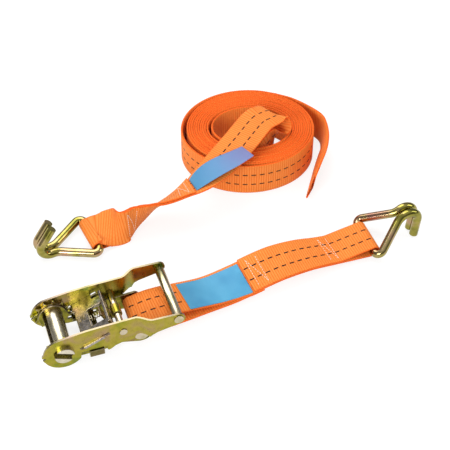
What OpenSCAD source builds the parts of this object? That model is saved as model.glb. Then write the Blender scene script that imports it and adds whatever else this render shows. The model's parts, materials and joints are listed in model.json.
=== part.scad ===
// Two-part ratchet tie-down for cargo: a ratchet buckle with a short sewn strap and
// hook, and a long strap wound in a flat roll with a hook of its own.
// The spindle runs along Y through the origin, the pull runs along +X and Z is up.

/* [Webbing] */
// Width of the strap webbing
web_w = 35; // [33:0.5:37]
// Thickness of the webbing
web_t = 1.6; // [1.4:0.1:1.8]
// Play of the webbing between the body plates, each side
web_play = 0.4; // [0.3:0.1:0.8]
// Gap between two layers that lie on each other
lay_gap = 0.5; // [0.45:0.05:0.6]
// Gap between a strap loop and the bar inside it
loop_gap = 0.3; // [0.2:0.05:0.5]
// Thickness of a sewn label
label_t = 0.5; // [0.4:0.1:0.6]

/* [Ratchet side plates] */
// Thickness of a body plate
body_t = 1.8; // [1.6:0.1:2.2]
// Thickness of a handle plate
hand_t = 1.8; // [1.6:0.1:2.2]
// Thickness of a ratchet wheel
wheel_t = 2.2; // [1.8:0.1:2.6]
// Running gap between neighbours in the stack of plates
side_gap = 0.25; // [0.2:0.05:0.4]
// Outward joggle of the handle plates at the grip end
flare = 7; // [5:0.5:9]

/* [Spindle] */
// Radius of the split spindle
spin_r = 8.5; // [8:0.1:8.8]
// Width of the slot between the spindle halves
spin_slot = 5.8; // [5.6:0.1:6.2]
// Length of spindle that stands out past each handle plate
spin_out = 3.2; // [2:0.1:4.5]
// Running clearance of the spindle in the plates
run_fit = 0.08; // [0.05:0.01:0.1]
// Clearance of fixed pins in their holes
pin_fit = 0.03; // [0.02:0.01:0.05]
// Tip radius of the ratchet wheels
wheel_r = 16.2; // [15.8:0.1:16.4]
// Height of a ratchet tooth
tooth_h = 3.2; // [3:0.1:3.3]

/* [Bolt, pins and grip] */
// Distance from the spindle to the strap bolt
bolt_x = 67.5; // [66:0.5:70]
// Height of the strap bolt against the spindle
bolt_z = -4; // [-5:0.5:-3]
// Radius of the strap bolt
bolt_r = 5; // [4.5:0.1:5.5]
// Distance from the spindle to the grip bar
grip_x = 97.5; // [96:0.5:102]
// Height of the grip bar against the spindle
grip_z = 15.5; // [15:0.5:17]
// Radius of the grip bar
grip_r = 4.2; // [3.8:0.1:4.6]
// Radius of the handle pin behind the drive pawl
pin_r = 3; // [2.6:0.1:3.2]

/* [Pawls] */
// Thickness of both pawls
pawl_t = 3; // [2.8:0.1:3.2]
// Clearance of the pawls in their guide slots
pawl_fit = 0.15; // [0.1:0.05:0.25]
// Gap between a tooth tip and a lifted pawl
tip_gap = 0.3; // [0.25:0.05:0.5]
// Drop of a pawl into a tooth gap
pawl_drop = 3; // [2.8:0.1:3.0]
// Pull of the drive pawl away from its lifted position
drive_pull = 4.5; // [4:0.1:4.8]
// Pull of the lock pawl away from its lifted position
lock_pull = 2.2; // [1.8:0.1:2.4]

/* [Hooks] */
// Radius of the hook wire
wire_r = 4; // [3.6:0.05:4.2]
// Play of the strap loop along the hook bar, each side
bar_play = 0.9; // [0.6:0.1:1.2]
// Length of a hook from its bar to the start of the bend
hook_l = 40; // [38:0.5:44]
// Radius of the hook bend at the wire centre
hook_bend = 9.75; // [9:0.25:10.5]
// Turn of the hook bend
hook_turn = 128; // [120:1:135]
// Straight leg at the hook tip
hook_leg = 19; // [14:0.5:19.5]

/* [Long strap roll] */
// Turns in the roll
roll_turns = 11.58; // [11.55:0.01:11.65]
// Mean inner radius of the roll
roll_in = 34.5; // [34:0.25:35]
// Half the difference between the long and short radius of the roll
roll_oval = 4.2; // [3.9:0.1:4.5]

/* [Hidden] */
$fn = 64;
zinc = "#a79a3a";
orange = "#ff6a12";
blue = "#4f9ed2";

// Levels of the plate stack, outward from the middle
body_in = web_w / 2 + web_play;
body_out = body_in + body_t;
wheel_in = body_out + side_gap;
wheel_out = wheel_in + wheel_t;
hand_in = wheel_out + side_gap;
hand_out = hand_in + hand_t;
grip_in = hand_in + flare;
grip_out = hand_out + flare;
pawl_edge = hand_in - 0.25;

// Spindle end and ratchet teeth
spin_tilt = 24;
teeth = 12;
tooth_at = -5.5;
root_r = wheel_r - tooth_h;
disc_r = root_r - 0.6;
lobe_r = 17.5;
nose_r = 18.6;
floor_z = -lobe_r;

// Line of the drive pawl: tilt, and distance of its middle plane below the spindle
dr_tilt = 23.8;
dr_off = 5.43;
dr_foot = [dr_off * sin(dr_tilt), 0, -dr_off * cos(dr_tilt)];
dr_tip = sqrt(pow(wheel_r + tip_gap, 2) - pow(dr_off - pawl_t / 2, 2));
dr_ear = 20;
dr_win = [dr_tip + 13, dr_tip + 28];
dr_rear = dr_win[1] + 2.5;
dr_seat = dr_win[1] - pawl_drop - 2.1;
pin_at = [51.3, 8.8];
pin_s = (pin_at[0] - dr_foot[0]) * cos(dr_tilt) + (pin_at[1] - dr_foot[2]) * sin(dr_tilt);
pin_n = -(pin_at[0] - dr_foot[0]) * sin(dr_tilt) + (pin_at[1] - dr_foot[2]) * cos(dr_tilt);

// Lock pawl: height, tip, ear and rear edge
lk_z = -6.5;
lk_tip = sqrt(pow(wheel_r + tip_gap, 2) - pow(lk_z + pawl_t / 2, 2));
lk_ear = [sqrt(pow(nose_r + 0.3, 2) - pow(lk_z + pawl_t / 2, 2)) + pawl_drop, 34];
lk_rear = 35;
lk_low = -12;
recess_x = lk_ear[1] + lock_pull + 0.4;
lk_seat = 46;
seat_t = 2;

// Hook: half bar, corner of the triangle and half distance of the two wires
bar_half = web_w / 2 + bar_play;
corner_r = wire_r + 0.75;
hook_y = wire_r + 0.3;
neck_l = hook_l - 5;

// Strap layers and loops
lay = web_t + lay_gap;
bolt_wrap = bolt_r + loop_gap + web_t / 2;
bar_wrap = wire_r + loop_gap + web_t / 2;
label_up = web_t / 2 + label_t / 2 + 0.1;

function unit(v) = v / norm(v);
function smooth(t) = t <= 0 ? 0 : t >= 1 ? 1 : t * t * (3 - 2 * t);
function mix(a, b, t) = a + (b - a) * t;

// Smooth curve through a list of control vectors, n steps to a span
function spline_at(P, i, t) =
    let (n = len(P) - 1)
    let (a = i > 0 ? P[i - 1] : 2 * P[0] - P[1])
    let (b = P[i])
    let (c = P[i + 1])
    let (d = i + 2 <= n ? P[i + 2] : 2 * P[n] - P[n - 1])
    0.5 * (2 * b + (c - a) * t + (2 * a - 5 * b + 4 * c - d) * t * t
        + (3 * b - a - 3 * c + d) * t * t * t);
function spline(P, n) = [
    for (i = [0 : len(P) - 2])
        for (k = [0 : (i == len(P) - 2 ? n : n - 1)])
            spline_at(P, i, k / n)
];
function arc2(c, r, a0, a1, n) = [
    for (i = [0 : n])
        c + r * [cos(mix(a0, a1, i / n)), sin(mix(a0, a1, i / n))]
];

// A flat strip: each station has a middle, a direction across and the reach to either edge
function along(S, i) = unit(S[min(i + 1, len(S) - 1)][0] - S[max(i - 1, 0)][0]);
function across(S, i) = unit(S[i][1] - (S[i][1] * along(S, i)) * along(S, i));
function facing(S, i) = cross(across(S, i), along(S, i));
module strip(S, t) {
    n = len(S);
    points = [
        for (i = [0 : n - 1])
            let (a = across(S, i))
            let (f = facing(S, i) * t / 2)
            each [S[i][0] - a * S[i][2] - f, S[i][0] + a * S[i][3] - f,
                  S[i][0] + a * S[i][3] + f, S[i][0] - a * S[i][2] + f]
    ];
    sides = [
        for (i = [0 : n - 2])
            for (k = [0 : 3])
                let (p = 4 * i + k)
                let (q = 4 * i + (k + 1) % 4)
                each [[p, q, q + 4], [p, q + 4, p + 4]]
    ];
    e = 4 * n - 4;
    caps = [[0, 2, 1], [0, 3, 2], [e, e + 1, e + 2], [e, e + 2, e + 3]];
    polyhedron(points = points, faces = concat(sides, caps), convexity = 10);
}

// Least distance between stations of a strip that are more than skip apart, less its thickness
function strip_gap(P, skip, t) = min([
    for (i = [0 : len(P) - 1])
        for (j = [i + skip : 1 : len(P) - 1])
            norm(P[i] - P[j])
]) - t;

// A round coil spring along X, its wire drawn as one tube
function coil_points(l, r, w, curls) = [
    for (i = [0 : 8 * curls])
        [w + 0.1 + (l - 2 * w - 0.2) * i / (8 * curls), r * cos(45 * i), r * sin(45 * i)]
];
function tube_station(P, i) =
    let (d = unit(P[min(i + 1, len(P) - 1)] - P[max(i - 1, 0)]))
    [P[i], d, unit(cross(d, [1, 0, 0]))];
module tube(P, w) {
    rings([for (i = [0 : len(P) - 1]) tube_station(P, i)], w, 6);
}

// A round wire: each station has a middle, a direction along and one direction across
module rings(S, w, m) {
    n = len(S);
    points = [
        for (s = S)
            for (k = [0 : m - 1])
                s[0] + w * (cos(360 * k / m) * s[2] + sin(360 * k / m) * cross(s[1], s[2]))
    ];
    sides = [
        for (i = [0 : n - 2])
            for (k = [0 : m - 1])
                let (p = m * i + k)
                let (q = m * i + (k + 1) % m)
                each [[p, q + m, q], [p, p + m, q + m]]
    ];
    e = m * (n - 1);
    caps = [
        for (k = [1 : m - 2])
            each [[0, k, k + 1], [e, e + k + 1, e + k]]
    ];
    polyhedron(points = points, faces = concat(sides, caps), convexity = 8);
}

// Placing helpers: a flat outline in XZ made into a plate, and round bars along Y
module slab(y0, y1) {
    translate([0, y1, 0])
        rotate([90, 0, 0])
            linear_extrude(y1 - y0)
                children();
}
module bar(x, z, r, y0, y1) {
    translate([x, y0, z])
        rotate([-90, 0, 0])
            cylinder(r = r, h = y1 - y0);
}
module near() {
    mirror([0, 1, 0])
        children();
}
module on_drive_line() {
    translate(dr_foot)
        rotate([0, -dr_tilt, 0])
            children();
}

// Body plate: a disc round the spindle, a guide slot for the lock pawl and an eye for the bolt
body_eye = 10.5;
body_edge = concat(
    arc2([0, 0], disc_r, 30, 290, 40),
    [[12, -13.6], [34, -13.6], [50, -10]],
    arc2([bolt_x, bolt_z], body_eye, 250, 420, 24),
    [[57, 4.2], [44, 4.2], [36, 6.2], [14.2, -2.6]]);
module body_plate() {
    difference() {
        slab(body_in, body_out)
            polygon(body_edge);
        bar(0, 0, spin_r + run_fit, body_in - 1, body_out + 1);
        bar(bolt_x, bolt_z, bolt_r + pin_fit, body_in - 1, body_out + 1);
        translate([lk_tip - pawl_drop - 0.3, body_in - 1, lk_z - pawl_t / 2 - pawl_fit])
            cube([lk_rear + lock_pull - lk_tip + pawl_drop + 0.6, body_t + 2, pawl_t + 2 * pawl_fit]);
        translate([lk_seat - pin_fit, body_in - 1, lk_z - 1.5 - pin_fit])
            cube([seat_t + 2 * pin_fit, body_t + 2, 3 + 2 * pin_fit]);
    }
}
module body_plate_near() {
    color(zinc)
        near()
            body_plate();
}
module body_plate_far() {
    color(zinc)
        body_plate();
}

// Bolt through the body eyes, peened to a round head at both ends
bolt_head_r = 6.4;
bolt_head_t = wheel_t + side_gap - 0.15;
module bolt_end() {
    translate([bolt_x, body_out, bolt_z])
        rotate([-90, 0, 0])
            cylinder(r1 = bolt_head_r, r2 = bolt_head_r - 1.2, h = bolt_head_t);
}
module strap_bolt() {
    color(zinc) {
        bar(bolt_x, bolt_z, bolt_r, -body_out, body_out);
        bolt_end();
        near()
            bolt_end();
    }
}

// Cross plate that holds the lock pawl's spring, tenoned into both body plates
module lock_spring_seat() {
    color(zinc) {
        translate([lk_seat, -body_in, lk_z - 3])
            cube([seat_t, 2 * body_in, 6.5]);
        translate([lk_seat, -body_out, lk_z - 1.5])
            cube([seat_t, 2 * body_out, 3]);
    }
}

// Lock pawl: a sliding plate across both wheels with ears bent down outside them
module lock_pawl() {
    color(zinc)
        difference() {
            union() {
                translate([lk_tip, -pawl_edge, lk_z - pawl_t / 2])
                    cube([lk_rear - lk_tip, 2 * pawl_edge, pawl_t]);
                for (y = [-pawl_edge - 3.4, pawl_edge])
                    translate([lk_ear[0], y, lk_low])
                        cube([lk_ear[1] - lk_ear[0], 3.4, lk_z + pawl_t / 2 - lk_low]);
            }
            translate([lk_tip - 1, -web_w / 2 + 4, lk_z - pawl_t])
                cube([6, web_w - 8, 2 * pawl_t]);
        }
}

// Lock spring: a round wire coil between the lock pawl and its cross plate
lock_coil = coil_points(lk_seat - lk_rear, 2.6, 0.45, 6);
module lock_spring() {
    color("#c9c4b4")
        translate([lk_rear, 0, lk_z])
            tube(lock_coil, 0.45);
}

// Ratchet wheel: teeth with one steep flank, and two openings that key it to the spindle
tooth_edge = [
    for (k = [0 : teeth - 1])
        let (a = tooth_at + 360 / teeth * k)
        each [root_r * [cos(a + 14), sin(a + 14)], wheel_r * [cos(a + 25.5), sin(a + 25.5)],
              wheel_r * [cos(a + 30), sin(a + 30)], root_r * [cos(a + 30), sin(a + 30)],
              root_r * [cos(a + 37), sin(a + 37)]]
];
module half_round(r, h, y0, y1) {
    intersection() {
        bar(0, 0, r, y0, y1);
        translate([-r - 1, y0 - 1, h])
            cube([2 * r + 2, y1 - y0 + 2, r + 1]);
    }
}
module ratchet_wheel() {
    difference() {
        slab(wheel_in, wheel_out)
            polygon(tooth_edge);
        for (turn = [0, 180])
            rotate([0, spin_tilt + turn, 0])
                half_round(spin_r + pin_fit, spin_slot / 2 - pin_fit, wheel_in - 1, wheel_out + 1);
    }
}
module ratchet_wheel_near() {
    color(zinc)
        near()
            ratchet_wheel();
}
module ratchet_wheel_far() {
    color(zinc)
        ratchet_wheel();
}

// Split spindle: two half-round bars with the webbing slot between them
spin_end = hand_out + spin_out;
module spindle_half() {
    half_round(spin_r, spin_slot / 2, -spin_end, spin_end);
}
module spindle_half_upper() {
    color(zinc)
        rotate([0, spin_tilt, 0])
            spindle_half();
}
module spindle_half_lower() {
    color(zinc)
        rotate([0, spin_tilt + 180, 0])
            spindle_half();
}

// Handle plate: a lobe round the spindle with a detent notch, a recess for the lock pawl's ear,
// a hollow over the strap bolt's head, the drive pawl's slot, and a joggle out to the wider grip end
grip_eye = 5.8;
handle_edge = concat(
    arc2([0, 0], lobe_r, 112, 168, 10),
    [nose_r * [cos(176), sin(176)], nose_r * [cos(180), sin(180)], 15.6 * [cos(183), sin(183)],
     15.6 * [cos(187), sin(187)], (nose_r - 0.3) * [cos(190), sin(190)]],
    arc2([0, 0], lobe_r, 202, 322, 20),
    [[14.4, lk_z + pawl_t / 2 + 0.6], [recess_x, lk_z + pawl_t / 2 + 0.6], [recess_x, -8.6],
     [recess_x + 1.2, -9.8], [recess_x + 3, -9.3], [44, -6.2], [49, -4.6], [54, -4.2]],
    arc2([bolt_x, bolt_z], bolt_head_r + 0.5, 178, 44, 10),
    [[75, 3.8], [79, 5.6]],
    arc2([grip_x, grip_z], grip_eye, -82, 84, 16),
    [[84, 21.6], [72, 22], [62, 22], [40, 21.4], [20, 20.4], [8, 18.7]]);
joggle = [62, 76];
function joggle_y(x) = flare * smooth((x - joggle[0]) / (joggle[1] - joggle[0]));
function joggle_t(x) =
    let (g = flare * (smooth((x + 0.1 - joggle[0]) / (joggle[1] - joggle[0]))
        - smooth((x - 0.1 - joggle[0]) / (joggle[1] - joggle[0]))) / 0.2)
    hand_t / 2 * sqrt(1 + g * g);
joggle_x = concat([-25], [for (k = [0 : 14]) mix(joggle[0], joggle[1], k / 14)], [112]);
module handle_band() {
    polygon(concat(
        [for (x = joggle_x) [x, hand_in + hand_t / 2 + joggle_y(x) - joggle_t(x)]],
        [for (k = [len(joggle_x) - 1 : -1 : 0])
            let (x = joggle_x[k])
            [x, hand_in + hand_t / 2 + joggle_y(x) + joggle_t(x)]]));
}
module handle_plate() {
    difference() {
        intersection() {
            slab(hand_in - 1, grip_out + 1)
                polygon(handle_edge);
            translate([0, 0, -30])
                linear_extrude(70)
                    handle_band();
        }
        bar(0, 0, spin_r + run_fit, hand_in - 1, hand_out + 1);
        bar(pin_at[0], pin_at[1], pin_r - 0.6 + pin_fit, hand_in - 1, hand_out + 1);
        bar(grip_x, grip_z, grip_r - 1.2 + pin_fit, grip_in - 1, grip_out + 1);
        on_drive_line()
            translate([dr_tip - pawl_drop - 0.3, hand_in - 1, -pawl_t / 2 - pawl_fit])
                cube([dr_ear + pawl_drop + drive_pull + 0.6, hand_t + 2, pawl_t + 2 * pawl_fit]);
    }
}
module handle_plate_near() {
    color(zinc)
        near()
            handle_plate();
}
module handle_plate_far() {
    color(zinc)
        handle_plate();
}

// Grip bar and handle pin: round bars shouldered between the handle plates and riveted over
module riveted(x, z, r, neck, head, inner, outer, head_t) {
    bar(x, z, r, -inner, inner);
    bar(x, z, neck, -outer, outer);
    bar(x, z, head, outer, outer + head_t);
    bar(x, z, head, -outer - head_t, -outer);
}
module grip_bar() {
    color(zinc)
        riveted(grip_x, grip_z, grip_r, grip_r - 1.2, grip_r, grip_in, grip_out, 1.2);
}
module handle_pin() {
    color(zinc)
        riveted(pin_at[0], pin_at[1], pin_r, pin_r - 0.6, pin_r + 0.4, hand_in, hand_out, 1);
}

// Spring seat of the handle: a tongue from the pin up through the drive pawl's window
seat_half = 5;
module drive_spring_seat() {
    color(zinc)
        on_drive_line() {
            translate([dr_seat, -seat_half, pin_n - 1])
                cube([1.5, 2 * seat_half, 3.6 - pin_n + 1]);
            translate([dr_seat, -seat_half, pin_n - 1])
                cube([pin_s - pin_r - 0.4 - dr_seat, 2 * seat_half, 2]);
            difference() {
                bar(pin_s, pin_n, pin_r + 1.4, -seat_half, seat_half);
                bar(pin_s, pin_n, pin_r + pin_fit, -seat_half - 1, seat_half + 1);
            }
        }
}

// Drive pawl: a sliding plate with ears through the handle slots, a spring window and a finger lip
module drive_pawl() {
    color(zinc)
        on_drive_line()
            difference() {
                union() {
                    translate([dr_tip, -hand_out - 1.6, -pawl_t / 2])
                        cube([dr_ear, 2 * hand_out + 3.2, pawl_t]);
                    translate([dr_tip + 4, -web_w / 2, -pawl_t / 2])
                        cube([dr_rear - dr_tip - 4, web_w, pawl_t]);
                    translate([dr_win[1], -web_w / 2, -pawl_t / 2])
                        cube([2.5, web_w, 8]);
                }
                translate([dr_win[0], -9, -pawl_t])
                    cube([dr_win[1] - dr_win[0], 18, 2 * pawl_t]);
                translate([dr_tip - 1, -web_w / 2 + 4, -pawl_t])
                    cube([2.4, web_w - 8, 2 * pawl_t]);
            }
}

// Drive spring: a round wire coil in the drive pawl's window, against the seat
drive_coil = coil_points(dr_seat - dr_win[0], 2.4, 0.45, 5);
module drive_spring() {
    color("#c9c4b4")
        on_drive_line()
            translate([dr_win[0], 0, 0])
                tube(drive_coil, 0.45);
}

// Hook: one wire bent to a triangle round the strap loop, with two fingers side by side
function wire_bend(p, d1, d2, r, n) =
    let (turn = acos(d1 * d2))
    let (side = unit(d2 - (d2 * d1) * d1))
    let (c = p - d1 * r * tan(turn / 2) + side * r)
    [for (k = [0 : n])
        let (a = turn * k / n)
        [c + r * (sin(a) * d1 - cos(a) * side), cos(a) * d1 + sin(a) * side]];
arm_end = [neck_l, hook_y, 0];
arm_turn = 90 + atan((bar_half + 5 - hook_y) / neck_l);
arm_start = [0, bar_half + corner_r * tan(arm_turn / 2), 0];
arm_dir = unit(arm_end - arm_start);
tip_dir = [cos(hook_turn), 0, sin(hook_turn)];
knee = [hook_l + hook_bend * tan(hook_turn / 2), hook_y, 0];
tip_end = knee + tip_dir * (hook_bend * tan(hook_turn / 2) + hook_leg);
hook_flat = concat(wire_bend(arm_start, [0, 1, 0], arm_dir, corner_r, 8),
                   wire_bend(arm_end, arm_dir, [1, 0, 0], 14, 4));
hook_curl = concat(wire_bend(knee, [1, 0, 0], tip_dir, hook_bend, 12), [[tip_end, tip_dir]]);
hook_side = concat(
    [for (s = hook_flat) [s[0], s[1], [0, 0, 1]]],
    [for (s = hook_curl) [s[0], s[1], cross([0, -1, 0], s[1])]]);
function other_side(v) = [v[0], -v[1], v[2]];
hook_wire = concat(
    [for (i = [len(hook_side) - 1 : -1 : 0])
        let (s = hook_side[i])
        [other_side(s[0]), -other_side(s[1]), other_side(s[2])]],
    [[[0, 0, 0], [0, 1, 0], [0, 0, 1]]],
    hook_side);
module hook() {
    rings(hook_wire, wire_r, 12);
}

// Short strap: plan line from the bolt, and the heights of its layers along it
end_x = 293;
end_z = floor_z + 7;
function plan_y(x) =
    let (t = (x - 75) / 218)
    let (k = max(x - 245, 0))
    t <= 0 ? 0 : 28.3 * (t - 0.06 * (1 - exp(-t / 0.06))) / 0.94 - 0.00098 * k * k;
function plan_slope(x) = (plan_y(x + 0.5) - plan_y(x - 0.5));
function plan_point(p) = [p[0], plan_y(p[0]), p[1]];
function plan_lean(x) = 0.2 * smooth((x - 125) / 60) * smooth((285 - x) / 75);
function plan_across(x) = unit([-plan_slope(x), 1, plan_lean(x)]);
middle_line = spline([
    [bolt_x, bolt_z + bolt_wrap], [80, 4.6], [96, 3.8], [112, 0.4], [139, -4.8], [166, -5],
    [186, -2.6], [204, -1.6], [228, -4.2], [250, -9.6], [266, -12.6], [279, -14.2],
    [end_x, end_z - bar_wrap]], 4);
top_line = [
    for (p = middle_line)
        if (p[0] > 168 && p[0] < 262)
            p + [0, lay]
];
top_end = spline([top_line[len(top_line) - 1] - [9, -2.3], top_line[len(top_line) - 1],
                  [279, -7.3], [end_x, end_z + bar_wrap], [end_x + 8, end_z + bar_wrap + 1]], 4);
low_join = [
    for (p = middle_line)
        if (p[0] > 165 && p[0] < 192)
            p - [0, lay]
];
low_line = spline([
    [bolt_x - 9, bolt_z - bolt_wrap + 1], [bolt_x, bolt_z - bolt_wrap], [82, -10.6],
    [100, -10.8], [116, -11], [134, -10.8], [152, -9.4],
    low_join[0], low_join[1]], 4);
short_path = concat(
    top_line,
    [for (i = [5 : 11]) top_end[i]],
    [for (p = arc2([end_x, end_z], bar_wrap, 90, -90, 10)) p],
    [for (i = [len(middle_line) - 2 : -1 : 1]) middle_line[i]],
    [for (p = arc2([bolt_x, bolt_z], bolt_wrap, 90, 270, 10)) p],
    [for (i = [5 : len(low_line) - 6]) low_line[i]],
    low_join);
function short_station(p) = [plan_point(p), plan_across(p[0]), web_w / 2, web_w / 2];
module short_strap() {
    color(orange)
        strip([for (p = short_path) short_station(p)], web_t);
}

// Label of the short strap, sewn on top between the grip and the first seam
label_line = [
    for (p = middle_line)
        if (p[0] > 108 && p[0] < 167)
            p + [0, label_up + 0.6 * smooth((p[0] - 120) / 20)]
];
module short_label() {
    color(blue)
        strip([for (p = label_line) [plan_point(p), plan_across(p[0]), 16.5, 16.5]], label_t);
}
short_yaw = atan(plan_slope(end_x));
short_pitch = 33;
module short_hook() {
    color(zinc)
        translate(plan_point([end_x, end_z]))
            rotate([0, -short_pitch, short_yaw])
                mirror([0, 0, 1])
                    hook();
}

// Long strap roll: an open oval spiral, from the inner end outward and clockwise
roll_at = [232.5, 176];
roll_turned = -17;
roll_from = -85;
roll_step = 24;
roll_n = round(roll_turns * roll_step);
roll_mid = floor_z + web_w / 2;
end_gap = 0.8;
function roll_r(k) =
    roll_in + lay * k - 5.2 * exp(-2.2 * k) + 4 * exp(-pow((k - roll_turns + 0.4) / 0.22, 2));
function roll_xy(a, r) =
    let (x = (r + roll_oval) * cos(a))
    let (y = (r - roll_oval) * sin(a))
    [roll_at[0] + x * cos(roll_turned) - y * sin(roll_turned),
     roll_at[1] + x * sin(roll_turned) + y * cos(roll_turned)];
roll = [
    for (i = [0 : roll_n])
        let (k = i / roll_step)
        [concat(roll_xy(roll_from - 360 * k, roll_r(k)), [roll_mid]), [0, 0, 1], web_w / 2, web_w / 2]
];
module long_strap_roll() {
    color(orange)
        strip(roll, web_t);
}

// Tail: the outer end peels off on edge, leans outward and ends in a slanted point
tail_guide = spline([
    concat(roll[roll_n][0] + along(roll, roll_n) * end_gap, [0, 0, 1]), [286.5, 203.5, roll_mid, 0, 0, 1],
    [298, 187, roll_mid + 0.1, 0, 0, 1], [305, 171, roll_mid + 0.1, 0.03, 0, 1],
    [303.5, 158, roll_mid + 0.1, 0.1, -0.03, 1], [298.5, 146.5, roll_mid - 0.2, 0.2, -0.13, 0.97],
    [291.5, 134, roll_mid - 0.5, 0.26, -0.17, 0.95], [283, 120.5, roll_mid - 0.6, 0.26, -0.17, 0.95],
    [275, 107.8, roll_mid - 0.6, 0.26, -0.17, 0.95],
    [267.7, 95.9, roll_mid - 0.6, 0.26, -0.17, 0.95]], 4);
tail_n = len(tail_guide) - 1;
tail = [
    for (i = [0 : tail_n])
        let (g = tail_guide[i])
        let (cut = max(0, i - tail_n + 9) / 9)
        [[g[0], g[1], g[2]], [g[3], g[4], g[5]], web_w / 2, web_w / 2 - cut * (web_w - 2)]
];
module long_strap_tail() {
    color(orange)
        strip(tail, web_t);
}

// Lead: the inner end rises out of the roll, runs down over it, takes half a twist and is sewn
// back on itself round the long hook's bar
bar_at = [56.5, 111, floor_z + bar_wrap + web_t / 2 + 0.7];
bar_yaw = 8;
bar_dir = [-cos(bar_yaw), -sin(bar_yaw), 0];
bar_side = [sin(bar_yaw), -cos(bar_yaw), 0];
lead_guide = [
    concat(roll[0][0] - along(roll, 0) * end_gap * 2, [0, 0, -1]),
    [237.6, 152.6, roll_mid + 1.6, 0, 0.02, -1], [244.8, 155.6, roll_mid + 5, 0.01, 0.04, -1],
    [250.8, 159.8, roll_mid + 8.8, 0.03, 0.12, -1], [255.4, 163.8, roll_mid + 13, -0.12, 0.4, -0.95],
    [258.4, 167.6, roll_mid + 17.8, -0.45, 0.64, -0.6], [259.7, 170.8, roll_mid + 22.8, -0.56, 0.77, -0.3],
    [258, 172.8, roll_mid + 28.2, -0.58, 0.81, -0.08], [253.8, 172.2, roll_mid + 32, -0.58, 0.81, 0],
    [246, 169.2, roll_mid + 33.8, -0.57, 0.82, 0],
    [235, 164.5, floor_z + 51, -0.55, 0.83, 0], [213, 147.5, floor_z + 47, -0.6, 0.8, 0],
    [193, 133.5, floor_z + 42.5, -0.57, 0.82, 0], [177.5, 124.5, floor_z + 39, -0.46, 0.88, -0.12],
    [163, 119, floor_z + 35, -0.2, 0.93, -0.27], [148, 116.5, floor_z + 29.5, 0.05, 0.87, -0.47],
    [135, 115.5, floor_z + 24.5, 0.14, 0.79, -0.59], [121.5, 115.2, floor_z + 20.6, 0.07, 0.67, -0.73],
    [109.3, 111.6, floor_z + 18.4, 0.05, 0.47, -0.88], [97, 106.3, floor_z + 18.5, 0.1, 0.2, -0.98],
    [85.5, 100.9, floor_z + 18.6, 0.08, -0.15, -0.98],
    concat(bar_at - bar_dir * 18 + [0, -4.2, 5.6], [0.1, -0.92, -0.38]),
    concat(bar_at - bar_dir * 8 + [0, 0, 1.5], bar_side + [0, 0, 0.02]), concat(bar_at, bar_side)
];
lead_mid = spline(lead_guide, 4);
lead_n = len(lead_mid) - 1;
sewn_n = 58;
lead_s = [for (g = lead_mid) [[g[0], g[1], g[2]], [g[3], g[4], g[5]]]];
function lead_half(i) =
    let (d = norm(lead_s[i][0] - bar_at))
    mix(bar_wrap, lay / 2, smooth((d - 4.5) / 22.5)) * smooth(i / 12);
lead_main = [
    for (i = [0 : lead_n - 1])
        [lead_s[i][0] - facing(lead_s, i) * lead_half(i), lead_s[i][1], web_w / 2, web_w / 2]
];
bar_along = unit(along(lead_s, lead_n) - (along(lead_s, lead_n) * bar_side) * bar_side);
bar_face = cross(bar_side, bar_along);
lead_wrap = [
    for (a = [0 : 18 : 180])
        [bar_at + bar_wrap * (sin(a) * bar_along - cos(a) * bar_face), bar_side, web_w / 2, web_w / 2]
];
lead_back = [
    for (i = [lead_n - 1 : -1 : sewn_n])
        [lead_s[i][0] + facing(lead_s, i) * lead_half(i), lead_s[i][1], web_w / 2, web_w / 2]
];
lead = concat(lead_main, lead_wrap, lead_back);
module long_strap_lead() {
    color(orange)
        strip(lead, web_t);
}

// Label of the long strap: sewn at its lower end, free and lifted at the upper end
label_n = 11;
long_label_path = [
    for (k = [0 : label_n])
        let (i = sewn_n - 1 - k)
        let (t = k / label_n)
        let (a = across(lead_main, i))
        [lead_main[i][0] + facing(lead_main, i) * (label_up + 0.8 + 6 * t * (2 - t)) - a * 17 * t * t,
         mix(a, [0, 0.96, -0.28], t * t), 14, 14]
];
module long_label() {
    color(blue)
        strip(long_label_path, label_t);
}
long_pitch = -2.5;
module long_hook() {
    color(zinc)
        translate(bar_at)
            rotate([0, 0, 180 + bar_yaw])
                rotate([0, -long_pitch, 0])
                    hook();
}

echo(lock_spring_gap = strip_gap(lock_coil, 5, 0.9));
echo(drive_spring_gap = strip_gap(drive_coil, 5, 0.9));
echo(roll_gap = strip_gap([for (s = roll) s[0]], 12, web_t));
echo(short_strap_gap = strip_gap([for (p = short_path) plan_point(p)], 8, web_t));
echo(lead_gap = strip_gap([for (s = lead) s[0]], 12, web_t));
echo(hook_gap = strip_gap([for (s = hook_wire) s[0]], 16, 2 * wire_r));

body_plate_near();
body_plate_far();
strap_bolt();
lock_spring_seat();
lock_pawl();
lock_spring();
ratchet_wheel_near();
ratchet_wheel_far();
spindle_half_upper();
spindle_half_lower();
handle_plate_near();
handle_plate_far();
grip_bar();
handle_pin();
drive_spring_seat();
drive_pawl();
drive_spring();
short_strap();
short_label();
short_hook();
long_strap_roll();
long_strap_lead();
long_strap_tail();
long_label();
long_hook();
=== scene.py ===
# A two-part cargo tie-down laid out on a pale table: a plated ratchet buckle with a short sewn strap
# and a wire hook, and a long strap wound in a flat roll with a hook of its own.
# Everything is in metres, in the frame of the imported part; sizes are written in millimetres and scaled.
import bpy
import bmesh
import json
import math
import numpy as np
from mathutils import Matrix, Vector

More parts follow.
